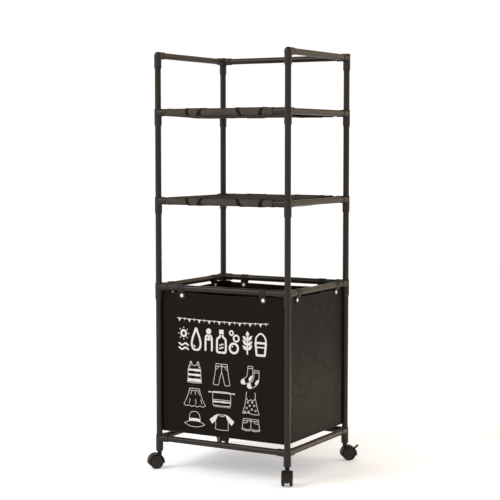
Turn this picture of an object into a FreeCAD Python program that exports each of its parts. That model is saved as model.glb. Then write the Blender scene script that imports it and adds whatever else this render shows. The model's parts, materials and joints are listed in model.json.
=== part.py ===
import FreeCAD, Part
import math
import os

# A laundry sorter on wheels: a four-post frame of push-fit steel tube, two cloth shelves,
# a hanging hamper bag and four twin-wheel swivel casters, the back two with a brake.
# Millimetres, +Z up, +X to the right and -Y towards the front.
# The origin is on the floor, under the middle of the four posts.

Vec = FreeCAD.Vector
UP = Vec(0, 0, 1)

# ---- frame ----
WIDTH = 380.0                # between post centres, along X
DEPTH = 326.0                # between post centres, along Y
TUBE_R = 8.0
TUBE_WALL = 0.8
BOTTOM = 80.0                # height of the lowest rails' centres above the floor
LEVELS = {
    "bottom": BOTTOM,
    "bag": BOTTOM + 398.0,
    "lower": BOTTOM + 621.0,
    "upper": BOTTOM + 848.0,
    "top": BOTTOM + 994.0,
}
CORNERS = {
    "front_left": (-1, -1),
    "front_right": (1, -1),
    "back_left": (-1, 1),
    "back_right": (1, 1),
}

# ---- connectors: a sleeve on the post, with a socket for each rail ----
SOCKET_R = 9.5               # outside
SOCKET_FIT = 0.10            # radial clearance of a tube in its socket
ARM_REACH = 29.0             # from the post's centre to the mouth of a rail's socket
SLEEVE_DROP = 34.0           # from the rail's centre down to the sleeve's lower end
WEB_TOP = 10.0               # the stop between two post tubes, below the rail's centre
WEB_THICKNESS = 2.0
RAIL_STOP = 10.5             # where a rail ends, from the post's centre
END_GAP = 0.2                # between a tube's end and its stop
CAP_RISE = 1.0               # how far the top back connectors stand above their arms

# ---- cloth shelves: a doubled cloth, tight round the front and the back rail ----
CLOTH_GAP = 0.25             # between a rail and the cloth round it
SHELF_CLOTH = 1.2
SHELF_LEFT = -160.5
SHELF_RIGHT = 150.5

# ---- hamper bag ----
BAG_INSET = 3.0              # from the rails' centre lines to the bag's outer faces
BAG_CORNER_R = 16.0
BAG_WALL = 2.4
BAG_FLOOR = 2.4
BAG_LIFT = 19.5              # the bag's underside, above the lowest rails' centres
BAG_DROP = 14.2              # the bag's top edge, below the bag rails' centres
BOARD = 2.5                  # the loose board on the bag's floor
BOARD_GAP = 1.0
STRAP_WIDTH = 19.0
STRAP_CLOTH = 1.1
STRAP_GAP = 0.25             # between a strap and what it lies on
STRAP_X = 120.0              # the straps on the front and back rails, either side of the middle
STRAP_Y = 109.0              # the straps on the side rails
SNAP_DROP = 19.6             # a snap's centre, below the rail's centre
SNAP_R = 4.7
SNAP_HEIGHT = 1.6
SNAP_DOME = 0.6

# ---- casters, about the stem's axis with the wheels trailing along +X and the axle along Y ----
TRAIL = 10.0
WHEEL_R = 18.0
WHEEL_INSIDE = 6.3           # from the middle plane to a wheel's inner face
WHEEL_OUTSIDE = 13.8
WHEEL_EDGE = 1.6             # rounding of the tread's edges
DISH_R = 12.5                # the shallow dish in a wheel's outer face
DISH_DEPTH = 0.8
AXLE_R = 2.0
AXLE_HALF = 12.2
RUNNING_FIT = 0.06
PRESS_GAP = 0.02
HOOD_R = 21.0
HOOD_INNER_R = 19.2
HOOD_HALF = 14.0
RIDGE_HALF = 8.6             # the raised middle band of the hood
RIDGE_RISE = 0.6
HOOD_FRONT_DEG = 190.0       # the hood's two lower edges, from the trailing direction, over the top
HOOD_BACK_DEG = -15.0
SPINE_HALF = 4.0             # the wall between the wheels
SPINE_R = 20.0
SPINE_FLOOR = 11.0           # the lowest point of that wall, above the floor
HUB_R = 5.0
HUB_HALF = 6.0
BOSS_R = 5.7
BOSS_TOP = 44.2
STEM_R = 4.0
STEM_FOOT = 20.0
STEM_TOP = 68.0
STEM_TIP_CHAMFER = 0.8
BUSH_TOP_GAP = 0.2           # between the stem's bush and the web above it
BUSH_COLLAR_R = 6.4          # the bush's collar, under the sleeve's end
BUSH_COLLAR = 1.4

# ---- brake pedal, on a cross pin in the hood ----
PEDAL_PIN_AT = 14.0          # from the axle, along PEDAL_PIN_DEG
PEDAL_PIN_DEG = 38.0
PEDAL_PIN_R = 1.2
PEDAL_DEG = 40.0             # the pedal's slope when it is up
PEDAL_LENGTH = 20.0
PEDAL_THICKNESS = 2.4
PEDAL_HALF = 5.8
PEDAL_CHEEK = 1.4
PEDAL_EYE_R = 3.0
PEDAL_BRIDGE = 5.2           # where the two cheeks join, from the pin
SLOT_FROM_DEG = 15.0
SLOT_TO_DEG = 59.0
SLOT_HALF = 6.1
SLOT_ROOT_R = 16.4

HEADINGS = {                 # the way each caster's wheels trail, in degrees from +X
    "front_left": -134.0,
    "front_right": -64.0,
    "back_left": 134.0,
    "back_right": 38.0,
}
BRAKED = ("back_left", "back_right")

HALF_X = WIDTH / 2
HALF_Y = DEPTH / 2


def save(name, *shapes):
    """Writes one node: a single solid, or a group of separate ones."""
    if len(shapes) == 1:
        shape = shapes[0]
    else:
        shape = Part.makeCompound(list(shapes))
    shape.exportStep(os.path.join("parts", name + ".step"))
    volumes = [round(solid.Volume) for solid in shape.Solids]
    print(name, len(volumes), "solids", sum(volumes), "mm3", "valid" if shape.isValid() else "BROKEN")


def rod(start, end, radius):
    """A solid round bar between two points."""
    run = end - start
    return Part.makeCylinder(radius, run.Length, start, run)


def tube(start, end):
    """A hollow frame tube between two points."""
    return rod(start, end, TUBE_R).cut(rod(start, end, TUBE_R - TUBE_WALL))


def block_between(low, high):
    """A block with these two opposite corners."""
    size = high - low
    return Part.makeBox(size.x, size.y, size.z, low)


def corner_point(corner, height):
    side, end = CORNERS[corner]
    return Vec(side * HALF_X, end * HALF_Y, height)


# ---------------------------------------------------------------- frame


def connector(corner, level):
    """One plastic connector, with the rails' and posts' sockets that its place needs."""
    side, end = CORNERS[corner]
    is_top = level == "top"
    is_elbow = is_top and end < 0
    centre = corner_point(corner, LEVELS[level])
    arms = [Vec(0, -end, 0)]
    if not is_elbow:
        arms.append(Vec(-side, 0, 0))
    sleeve_top = SOCKET_R
    if is_elbow:
        sleeve_top = 0.0
    elif is_top:
        sleeve_top = SOCKET_R + CAP_RISE
    foot = centre - UP * SLEEVE_DROP
    body = rod(foot, centre + UP * sleeve_top, SOCKET_R)
    # the cylinder's seam edge faces outwards, away from the arms
    body.rotate(centre, UP, math.degrees(math.atan2(end, side)))
    if is_elbow:
        body = body.fuse(Part.makeSphere(SOCKET_R, centre))
    for arm in arms:
        body = body.fuse(rod(centre, centre + arm * ARM_REACH, SOCKET_R))
    body = body.removeSplitter()
    bore_r = TUBE_R + SOCKET_FIT
    for arm in arms:
        body = body.cut(rod(centre + arm * RAIL_STOP, centre + arm * ARM_REACH, bore_r))
    body = body.cut(rod(foot, centre - UP * (WEB_TOP + WEB_THICKNESS), bore_r))
    if not is_top:
        body = body.cut(rod(centre - UP * WEB_TOP, centre + UP * SOCKET_R, bore_r))
    return body


def rail(corner_a, corner_b, level):
    """The tube between two corners of one level, from stop to stop in its two sockets."""
    a = corner_point(corner_a, LEVELS[level])
    b = corner_point(corner_b, LEVELS[level])
    along = (b - a).normalize()
    inset = RAIL_STOP + END_GAP
    return tube(a + along * inset, b - along * inset)


def post_tube(corner, lower, upper):
    """The tube between two levels at one corner."""
    start = corner_point(corner, LEVELS[lower] - WEB_TOP + END_GAP)
    end = corner_point(corner, LEVELS[upper] - WEB_TOP - WEB_THICKNESS - END_GAP)
    return tube(start, end)


def make_frame():
    runs = {
        "front": ("front_left", "front_right"),
        "back": ("back_left", "back_right"),
        "left": ("front_left", "back_left"),
        "right": ("front_right", "back_right"),
    }
    names = list(LEVELS)
    for level in names:
        save("connectors_" + level, *[connector(corner, level) for corner in CORNERS])
        for run, (corner_a, corner_b) in runs.items():
            if level == "top" and run == "front":
                continue
            save("rail_" + level + "_" + run, rail(corner_a, corner_b, level))
    for lower, upper in zip(names, names[1:]):
        tubes = [post_tube(corner, lower, upper) for corner in CORNERS]
        save("post_tubes_" + lower + "_to_" + upper, *tubes)


# ---------------------------------------------------------------- cloth shelves


def rounded_slab(radius, x_from, x_to, height):
    """A slab along X whose section is two half circles round the front and back rails."""
    length = x_to - x_from
    middle = block_between(
        Vec(x_from, -HALF_Y, height - radius), Vec(x_to, HALF_Y, height + radius))
    for y in (-HALF_Y, HALF_Y):
        middle = middle.fuse(Part.makeCylinder(radius, length, Vec(x_from, y, height), Vec(1, 0, 0)))
    return middle.removeSplitter()


def make_shelves():
    inside = TUBE_R + CLOTH_GAP
    outside = inside + SHELF_CLOTH
    for level in ("lower", "upper"):
        height = LEVELS[level]
        skin = rounded_slab(outside, SHELF_LEFT, SHELF_RIGHT, height)
        hollow = rounded_slab(inside, SHELF_LEFT, SHELF_RIGHT, height)
        save("shelf_cloth_" + level, skin.cut(hollow))


# ---------------------------------------------------------------- hamper bag


def rounded_block(half_x, half_y, radius, z_from, z_to):
    """An upright block with rounded corners."""
    block = block_between(Vec(-half_x, -half_y, z_from), Vec(half_x, half_y, z_to))
    upright = [e for e in block.Edges if abs(e.tangentAt(e.FirstParameter).z) > 0.5]
    return block.makeFillet(radius, upright)


def touch_point(centre, radius, point, side):
    """Where the line from a point touches a circle, on the given side; (y, z) pairs."""
    dy = point[0] - centre[0]
    dz = point[1] - centre[1]
    distance = math.hypot(dy, dz)
    turn = math.acos(radius / distance)
    angle = math.atan2(dz, dy) + side * turn
    return (centre[0] + radius * math.cos(angle), centre[1] + radius * math.sin(angle))


def strap():
    """A strap over a rail that runs along X at (0, 0), with the bag's wall on its +Y side."""
    wall_out = BAG_INSET
    wall_in = BAG_INSET + BAG_WALL
    near = TUBE_R + STRAP_GAP
    far = near + STRAP_CLOTH
    front = wall_out - STRAP_GAP
    back = wall_in + STRAP_GAP
    edge = -BAG_DROP
    foot = -SNAP_DROP - STRAP_WIDTH / 2
    outer = [
        (front - STRAP_CLOTH, foot),
        (front - STRAP_CLOTH, edge),
        touch_point((0, 0), far, (front - STRAP_CLOTH, edge), -1),
        (0, far),
        touch_point((0, 0), far, (back + STRAP_CLOTH, edge), 1),
        (back + STRAP_CLOTH, edge),
        (back + STRAP_CLOTH, foot),
    ]
    inner = [
        (back, foot),
        (back, edge),
        touch_point((0, 0), near, (back, edge), 1),
        (0, near),
        touch_point((0, 0), near, (front, edge), -1),
        (front, edge),
        (front, foot),
    ]
    edges = []
    for ring in (outer, inner):
        points = [Vec(-STRAP_WIDTH / 2, y, z) for y, z in ring]
        edges.append(Part.LineSegment(points[0], points[1]).toShape())
        edges.append(Part.LineSegment(points[1], points[2]).toShape())
        edges.append(Part.Arc(points[2], points[3], points[4]).toShape())
        edges.append(Part.LineSegment(points[4], points[5]).toShape())
        edges.append(Part.LineSegment(points[5], points[6]).toShape())
    x = -STRAP_WIDTH / 2
    edges.append(Part.LineSegment(Vec(x, *outer[-1]), Vec(x, *inner[0])).toShape())
    edges.append(Part.LineSegment(Vec(x, *inner[-1]), Vec(x, *outer[0])).toShape())
    wire = Part.Wire(Part.__sortEdges__(edges))
    band = Part.Face(wire).extrude(Vec(STRAP_WIDTH, 0, 0))
    feet = [e for e in band.Edges if is_foot_side(e, foot)]
    return band.makeFillet(STRAP_WIDTH / 2 - 0.5, feet)


def is_foot_side(edge, foot):
    """True for the four short edges across the strap's thickness at its two lower ends."""
    low, high = edge.BoundBox.ZMin, edge.BoundBox.ZMax
    flat = abs(low - foot) < 0.01 and abs(high - foot) < 0.01
    return flat and edge.BoundBox.XLength < 0.01


def snap(front):
    """A press stud's half: the domed cap outside the strap, or the flat one inside the bag."""
    if front:
        y = BAG_INSET - STRAP_GAP - STRAP_CLOTH
        direction = Vec(0, -1, 0)
    else:
        y = BAG_INSET + BAG_WALL + STRAP_GAP + STRAP_CLOTH
        direction = Vec(0, 1, 0)
    cap = Part.makeCylinder(SNAP_R, SNAP_HEIGHT, Vec(0, y, -SNAP_DROP), direction)
    rim = [e for e in cap.Edges if abs(e.BoundBox.YMin - y - direction.y * SNAP_HEIGHT) < 0.01
           and e.BoundBox.YLength < 0.01]
    return cap.makeFillet(SNAP_DOME, rim)


def strap_places():
    """Each strap's middle on its rail and its turn about Z; at no turn the bag is on the +Y side."""
    places = []
    for side in (-1, 1):
        places.append((Vec(side * STRAP_X, -HALF_Y, LEVELS["bag"]), 0))
        places.append((Vec(side * STRAP_X, HALF_Y, LEVELS["bag"]), 180))
        places.append((Vec(HALF_X, side * STRAP_Y, LEVELS["bag"]), 90))
        places.append((Vec(-HALF_X, side * STRAP_Y, LEVELS["bag"]), -90))
    return places


def at_straps(shape):
    """A copy of the shape at each strap's place."""
    copies = []
    for point, turn in strap_places():
        copy = shape.copy()
        copy.Placement = FreeCAD.Placement(point, FreeCAD.Rotation(UP, turn))
        copies.append(copy)
    return copies


def make_bag():
    half_x = HALF_X - BAG_INSET
    half_y = HALF_Y - BAG_INSET
    underside = LEVELS["bottom"] + BAG_LIFT
    rim = LEVELS["bag"] - BAG_DROP
    outside = rounded_block(half_x, half_y, BAG_CORNER_R, underside, rim)
    inside = rounded_block(
        half_x - BAG_WALL, half_y - BAG_WALL, BAG_CORNER_R - BAG_WALL, underside + BAG_FLOOR, rim)
    save("hamper_bag", outside.cut(inside))
    reach = BAG_WALL + BOARD_GAP
    floor = underside + BAG_FLOOR
    board = rounded_block(
        half_x - reach, half_y - reach, BAG_CORNER_R - reach, floor, floor + BOARD)
    save("bag_base_board", board)
    save("bag_straps", *at_straps(strap()))
    save("bag_snap_caps", *at_straps(snap(True)))
    save("bag_snap_backs", *at_straps(snap(False)))


# ---------------------------------------------------------------- casters


AXLE = Vec(TRAIL, 0, WHEEL_R)


def across(radius, y_from, y_to, centre=AXLE):
    """A round bar parallel to the axle."""
    start = Vec(centre.x, y_from, centre.z)
    return Part.makeCylinder(radius, y_to - y_from, start, Vec(0, 1, 0))


def from_axle(distance, degrees):
    """A point in the caster's middle plane, at an angle up from the trailing direction."""
    angle = math.radians(degrees)
    return AXLE + Vec(math.cos(angle), 0, math.sin(angle)) * distance


def wedge(from_deg, to_deg, half_width, reach=HOOD_R * 2):
    """The part of space between two angles about the axle."""
    steps = 6
    angles = [from_deg + (to_deg - from_deg) * i / steps for i in range(steps + 1)]
    points = [AXLE] + [from_axle(reach, angle) for angle in angles] + [AXLE]
    flat = [p - Vec(0, half_width, 0) for p in points]
    return Part.Face(Part.makePolygon(flat)).extrude(Vec(0, 2 * half_width, 0))


def hood(braked):
    """The caster's housing: an arched cover over both wheels, a wall between them and the stem's boss."""
    cover = across(HOOD_R, -HOOD_HALF, HOOD_HALF)
    cover = cover.fuse(across(HOOD_R + RIDGE_RISE, -RIDGE_HALF, RIDGE_HALF))
    cover = cover.cut(across(HOOD_INNER_R, -HOOD_HALF, HOOD_HALF))
    cover = cover.common(wedge(HOOD_BACK_DEG, HOOD_FRONT_DEG, HOOD_HALF))
    spine = across(SPINE_R, -SPINE_HALF, SPINE_HALF)
    below = block_between(Vec(-HOOD_R, -HOOD_R, -HOOD_R), Vec(TRAIL + HOOD_R, HOOD_R, SPINE_FLOOR))
    spine = spine.cut(below)
    boss = rod(Vec(0, 0, SPINE_FLOOR), Vec(0, 0, BOSS_TOP), BOSS_R)
    body = cover.fuse([spine, boss, across(HUB_R, -HUB_HALF, HUB_HALF)])
    body = body.cut(rod(Vec(0, 0, STEM_FOOT - END_GAP), Vec(0, 0, BOSS_TOP), STEM_R + RUNNING_FIT))
    body = body.cut(across(AXLE_R + PRESS_GAP, -HOOD_HALF, HOOD_HALF))
    if braked:
        slot = wedge(SLOT_FROM_DEG, SLOT_TO_DEG, SLOT_HALF)
        slot = slot.cut(across(SLOT_ROOT_R, -HOOD_HALF, HOOD_HALF))
        body = body.cut(slot)
        pin_at = from_axle(PEDAL_PIN_AT, PEDAL_PIN_DEG)
        body = body.cut(across(PEDAL_PIN_R + PRESS_GAP, -HOOD_HALF, HOOD_HALF, pin_at))
    return body.removeSplitter()


def axle():
    return across(AXLE_R, -AXLE_HALF, AXLE_HALF)


def wheel(side):
    """One wheel of the pair, on the +Y or the -Y side, with a blind bore from its inner face."""
    blank = across(WHEEL_R, WHEEL_INSIDE, WHEEL_OUTSIDE)
    blank = blank.makeFillet(WHEEL_EDGE, [e for e in blank.Edges if e.BoundBox.YLength < 0.01])
    blank = blank.cut(across(DISH_R, WHEEL_OUTSIDE - DISH_DEPTH, WHEEL_OUTSIDE))
    bore_end = AXLE_HALF + END_GAP
    blank = blank.cut(across(AXLE_R + RUNNING_FIT, WHEEL_INSIDE, bore_end))
    if side < 0:
        blank = blank.mirror(Vec(0, 0, 0), Vec(0, 1, 0))
    return blank


def stem():
    """The steel stem: its foot turns in the hood and its shank is held in the post's bush."""
    shank = rod(Vec(0, 0, STEM_FOOT), Vec(0, 0, STEM_TOP), STEM_R)
    tip = [e for e in shank.Edges if e.BoundBox.ZMin > STEM_TOP - 0.01]
    return shank.makeChamfer(STEM_TIP_CHAMFER, tip)


def bush():
    """The plastic bush that fills the lowest connector's sleeve and grips the stem."""
    sleeve_end = BOTTOM - SLEEVE_DROP
    foot = sleeve_end - BUSH_COLLAR
    top = BOTTOM - WEB_TOP - WEB_THICKNESS - BUSH_TOP_GAP
    block = rod(Vec(0, 0, sleeve_end), Vec(0, 0, top), TUBE_R)
    block = block.fuse(rod(Vec(0, 0, foot), Vec(0, 0, sleeve_end), BUSH_COLLAR_R))
    return block.cut(rod(Vec(0, 0, foot), Vec(0, 0, top), STEM_R + PRESS_GAP))


def pedal():
    """The brake pedal: two cheeks on the cross pin, joined into one tread outside the hood."""
    pin_at = from_axle(PEDAL_PIN_AT, PEDAL_PIN_DEG)
    angle = math.radians(PEDAL_DEG)
    along = Vec(math.cos(angle), 0, math.sin(angle))
    normal = Vec(-math.sin(angle), 0, math.cos(angle))
    start = pin_at - normal * (PEDAL_THICKNESS / 2) - Vec(0, PEDAL_HALF, 0)
    corners = [
        start,
        start + along * PEDAL_LENGTH,
        start + along * PEDAL_LENGTH + normal * PEDAL_THICKNESS,
        start + normal * PEDAL_THICKNESS,
        start,
    ]
    plate = Part.Face(Part.makePolygon(corners)).extrude(Vec(0, 2 * PEDAL_HALF, 0))
    plate = plate.fuse(across(PEDAL_EYE_R, -PEDAL_HALF, PEDAL_HALF, pin_at))
    half_gap = PEDAL_HALF - PEDAL_CHEEK
    fork = across(PEDAL_BRIDGE, -half_gap, half_gap, pin_at)
    body = plate.cut(fork).removeSplitter()
    return body.cut(across(PEDAL_PIN_R + RUNNING_FIT, -PEDAL_HALF, PEDAL_HALF, pin_at))


def pedal_pin():
    return across(PEDAL_PIN_R, -PEDAL_HALF, PEDAL_HALF, from_axle(PEDAL_PIN_AT, PEDAL_PIN_DEG))


def at_caster(shape, corner):
    """A copy of a caster's piece at its corner, turned to its heading."""
    side, end = CORNERS[corner]
    copy = shape.copy()
    turn = FreeCAD.Rotation(UP, HEADINGS[corner])
    place = FreeCAD.Placement(Vec(side * HALF_X, end * HALF_Y, 0), turn)
    copy.Placement = place.multiply(copy.Placement)
    return copy


def make_casters():
    for corner in CORNERS:
        braked = corner in BRAKED
        save("caster_stem_" + corner, at_caster(stem(), corner))
        save("caster_hood_" + corner, at_caster(hood(braked), corner))
        save("caster_axle_" + corner, at_caster(axle(), corner))
        save("caster_wheel_a_" + corner, at_caster(wheel(1), corner))
        save("caster_wheel_b_" + corner, at_caster(wheel(-1), corner))
        if braked:
            save("brake_pedal_" + corner, at_caster(pedal(), corner))
            save("brake_pin_" + corner, at_caster(pedal_pin(), corner))
    save("caster_bushes", *[at_caster(bush(), corner) for corner in CORNERS])


os.makedirs("parts", exist_ok=True)
make_frame()
make_shelves()
make_bag()
make_casters()
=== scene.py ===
import json
import math

import bmesh
import bpy
import numpy as np
from mathutils import Matrix, Vector, noise


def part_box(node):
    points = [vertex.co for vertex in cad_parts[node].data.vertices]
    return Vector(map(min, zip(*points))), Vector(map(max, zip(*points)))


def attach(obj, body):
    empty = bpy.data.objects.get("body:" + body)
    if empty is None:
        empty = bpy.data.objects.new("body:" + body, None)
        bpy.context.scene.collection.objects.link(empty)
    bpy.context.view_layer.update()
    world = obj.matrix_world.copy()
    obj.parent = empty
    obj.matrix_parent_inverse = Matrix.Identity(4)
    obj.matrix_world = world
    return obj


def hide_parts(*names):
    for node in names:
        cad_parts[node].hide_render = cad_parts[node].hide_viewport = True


# The looks of a laundry sorter on wheels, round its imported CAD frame.
# Lengths are millimetres, and turn into metres where a mesh, a modifier, a lamp or the camera is made.

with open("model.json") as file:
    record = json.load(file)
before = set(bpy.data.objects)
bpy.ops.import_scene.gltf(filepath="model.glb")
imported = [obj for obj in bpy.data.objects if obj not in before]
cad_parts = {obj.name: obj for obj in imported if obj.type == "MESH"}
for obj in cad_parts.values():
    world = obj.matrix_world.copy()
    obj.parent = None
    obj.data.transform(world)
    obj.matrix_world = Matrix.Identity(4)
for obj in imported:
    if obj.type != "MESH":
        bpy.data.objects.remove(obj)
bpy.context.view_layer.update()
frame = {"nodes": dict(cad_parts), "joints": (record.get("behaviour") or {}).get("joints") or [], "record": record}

MM = 0.001
TREAD_FROM_R = 16.4          # the wheels' black tread, from this radius out
TREAD_BLUR = 0.15
WEAVE = "weave"              # the pieces' UV map: millimetres along the threads, or a wheel's radius
CORNERS = {
    "front_left": (-1, -1),
    "front_right": (1, -1),
    "back_left": (-1, 1),
    "back_right": (1, 1),
}


def middle(node):
    low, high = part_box(node)
    return np.array(low + high) / 2 / MM


LEVELS = {level: middle(f"rail_{level}_back")[2] for level in ("bottom", "bag", "lower", "upper", "top")}
HALF_X = middle("rail_bag_right")[0]
HALF_Y = middle("rail_bag_back")[1]


# ---------------------------------------------------------------- finishes

MIX_A, MIX_B, MIX_RESULT = 6, 7, 2   # the colour sockets of a Mix node


def tone(red, green, blue):
    """A colour given as it shows on a screen, 0 to 255, as the shader's own values."""
    shares = [channel / 255 for channel in (red, green, blue)]
    return tuple(s / 12.92 if s <= 0.04045 else ((s + 0.055) / 1.055) ** 2.4 for s in shares)


class Finish:
    """A material. Most calls add a node and return its output, and the last ones reach the shader."""

    def __init__(self, name, colour, roughness, **sockets):
        self.material = bpy.data.materials.new(name)
        self.material.use_nodes = True
        self.tree = self.material.node_tree
        self.shader = self.tree.nodes["Principled BSDF"]
        self.shader.inputs["Base Color"].default_value = (*colour, 1)
        self.shader.inputs["Roughness"].default_value = roughness
        for key, value in sockets.items():
            self.shader.inputs[key.replace("_", " ")].default_value = value

    def node(self, kind, inputs, **settings):
        made = self.tree.nodes.new("ShaderNode" + kind)
        for key, value in settings.items():
            setattr(made, key, value)
        for key, value in inputs.items():
            if isinstance(value, bpy.types.NodeSocket):
                self.tree.links.new(value, made.inputs[key])
            else:
                made.inputs[key].default_value = value
        return made

    def maths(self, operation, a, b=0.0):
        return self.node("Math", {0: a, 1: b}, operation=operation).outputs[0]

    def between(self, share, low, high, first=0.3, last=0.7):
        """The share, which runs from first to last, as a value from low to high."""
        ends = {"Value": share, "From Min": first, "From Max": last, "To Min": low, "To Max": high}
        return self.node("MapRange", ends).outputs[0]

    def blend(self, share, *ends):
        """A colour between two, each of them a colour or an output."""
        a, b = (end if isinstance(end, bpy.types.NodeSocket) else (*end, 1) for end in ends)
        mixed = self.node("Mix", {0: share, MIX_A: a, MIX_B: b}, data_type="RGBA")
        return mixed.outputs[MIX_RESULT]

    def noise(self, across, detail=3.0, stretch=(1, 1, 1)):
        """Noise from 0 to 1 with features about this many millimetres across."""
        where = self.node("TexCoord", {}).outputs["Object"]
        where = self.node("Mapping", {"Vector": where, "Scale": stretch}).outputs[0]
        sizes = {"Vector": where, "Scale": 1 / (across * MM), "Detail": detail}
        return self.node("TexNoise", sizes).outputs["Fac"]

    def uv(self):
        """The outputs that have a piece's UV places."""
        places = self.node("UVMap", {}, uv_map=WEAVE).outputs["UV"]
        return self.node("SeparateXYZ", {"Vector": places}).outputs

    def weave(self, pitch):
        """The height, from 0 to 1, of a plain weave whose threads are this far apart."""
        axes = self.uv()
        waves = [
            self.maths("SINE", self.maths("MULTIPLY", axes[i], math.pi / pitch)) for i in (0, 1)]
        share = self.between(self.maths("MULTIPLY", waves[0], waves[1]), 0.0, 1.0, -0.6, 0.6)
        threads = [self.maths("ABSOLUTE", wave) for wave in waves]
        first = self.maths("MULTIPLY", threads[0], share)
        second = self.maths("MULTIPLY", threads[1], self.maths("SUBTRACT", 1.0, share))
        return self.maths("ADD", first, second)

    def send(self, value, socket):
        self.tree.links.new(value, self.shader.inputs[socket])

    def surface(self, colour, roughness, *layers):
        """Sends the shader a colour, a roughness, and bumps one on another; each layer is a height from
        0 to 1 and its depth in millimetres."""
        self.send(colour, "Base Color")
        self.send(roughness, "Roughness")
        normal = None
        for height, depth in layers:
            inputs = {"Height": height, "Distance": depth * MM, "Strength": 1.0}
            if normal is not None:
                inputs["Normal"] = normal
            normal = self.node("Bump", inputs).outputs[0]
        self.send(normal, "Normal")
        return self.material


def plain_finish(name, colours, patches, roughness, smears, *grain, **sockets):
    """Two colours in patches, a roughness between two in smears, and layers of grain with their depths.
    Patches, smears and grain are given as noise() takes them."""
    finish = Finish(name, colours[0], roughness[0], **sockets)
    colour = finish.blend(finish.noise(*patches), *colours)
    rough = finish.between(finish.noise(*smears), *roughness)
    return finish.surface(colour, rough, *[(finish.noise(*size), depth) for size, depth in grain])


def moulded_finish(name, dark, light, roughness, specular, tread=None):
    """Injection-moulded plastic with a fine spark-eroded grain. A wheel's tread has its own colour, from
    one radius out, where the radius is the first of the wheel's UV places."""
    finish = Finish(name, dark, roughness, Specular_IOR_Level=specular)
    colour = finish.blend(finish.noise(30), dark, light)
    if tread is not None:
        outside = finish.between(finish.uv()[0], 0.0, 1.0, TREAD_FROM_R, TREAD_FROM_R + TREAD_BLUR)
        colour = finish.blend(outside, colour, tread)
    rough = finish.between(finish.noise(9, 5), roughness - 0.05, roughness + 0.08)
    return finish.surface(colour, rough, (finish.noise(5, 2), 0.03), (finish.noise(0.45, 2), 0.02))


def cloth_finish(name, dark, light, pitch, depth, roughness, specular, crease=0.2, flat=None):
    """Woven polyester: a plain weave, uneven threads, and faint rubbed patches. Where the cloth lies flat,
    facing up or down, it can take another colour: painted shade, which makes the flat faces of one cloth darker
    than its rounded ones."""
    finish = Finish(name, dark, roughness, Specular_IOR_Level=specular)
    threads = finish.weave(pitch)
    patches = finish.between(finish.noise(45, 4), 0.0, 0.65)
    share = finish.maths("ADD", finish.maths("MULTIPLY", threads, 0.35), patches)
    colour = finish.blend(share, dark, light)
    # painted shade: the colour turns to the flat one where the normal points straight up or down, so a shelf's
    # flat top and underside are darker than where its cloth rounds the rails
    if flat is not None:
        facing = finish.node("NewGeometry", {}).outputs["Normal"]
        upright = finish.maths("ABSOLUTE", finish.node("SeparateXYZ", {"Vector": facing}).outputs["Z"])
        colour = finish.blend(finish.between(upright, 0.0, 1.0, 0.90, 0.985), colour, flat)
    rough = finish.between(finish.noise(14, 4), roughness - 0.06, roughness + 0.06)
    fuzz = (finish.noise(0.6, 2), depth / 3)
    return finish.surface(colour, rough, (finish.noise(22, 3), crease), (threads, depth), fuzz)


SLOTS = {
    # baked enamel, satin, with a faint orange peel and dusty patches
    "tube_paint": plain_finish(
        "tube_paint", (tone(33, 26, 19), tone(37, 30, 22)), (70,), (0.30, 0.42), (18, 5),
        ((2.2, 2), 0.02), ((0.5, 2), 0.006), Specular_IOR_Level=0.24),
    # zinc-plated steel, drawn lengthwise
    "bright_steel": plain_finish(
        "bright_steel", (tone(150, 150, 146), tone(190, 190, 186)), (6,), (0.22, 0.4), (3, 4, (1, 1, 12)),
        ((0.8, 2, (1, 1, 10)), 0.008), Metallic=1.0),
    # glossy white acetal
    "snap_plastic": plain_finish(
        "snap_plastic", (tone(232, 232, 230), tone(244, 244, 242)), (3,), (0.2, 0.34), (2, 4),
        ((1.5, 2), 0.01)),
    # screen-printed ink that the threads show through a little
    "print_ink": plain_finish(
        "print_ink", (tone(190, 187, 182), tone(222, 219, 214)), (1.6, 4), (0.62, 0.8), (3, 3),
        ((0.9, 3), 0.05), Specular_IOR_Level=0.3),
    "connector_plastic": moulded_finish("connector_plastic", tone(32, 26, 20), tone(38, 32, 25), 0.42, 0.25),
    "caster_plastic": moulded_finish("caster_plastic", tone(30, 25, 21), tone(36, 31, 26), 0.46, 0.16),
    "wheel_plastic": moulded_finish(
        "wheel_plastic", tone(30, 25, 20), tone(38, 32, 26), 0.5, 0.25, tread=tone(9, 8, 7)),
    # the grey base colour is a painted sheen where the cloth rounds the rails, and the near-black flat colour is
    # painted shade on the flat top and underside
    "shelf_cloth": cloth_finish(
        "shelf_cloth", tone(62, 57, 52), tone(72, 67, 62), 0.9, 0.06, 0.66, 0.03, flat=tone(13, 10, 8)),
    "bag_cloth": cloth_finish("bag_cloth", tone(18, 13, 10), tone(22, 17, 13), 1.1, 0.05, 0.5, 0.06, 0.06),
    "strap_cloth": cloth_finish("strap_cloth", tone(26, 22, 18), tone(32, 28, 23), 1.6, 0.1, 0.5, 0.2),
    "base_board": cloth_finish("base_board", tone(26, 23, 21), tone(34, 31, 28), 1.3, 0.1, 0.8, 0.1),
}


# ---------------------------------------------------------------- meshes


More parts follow.
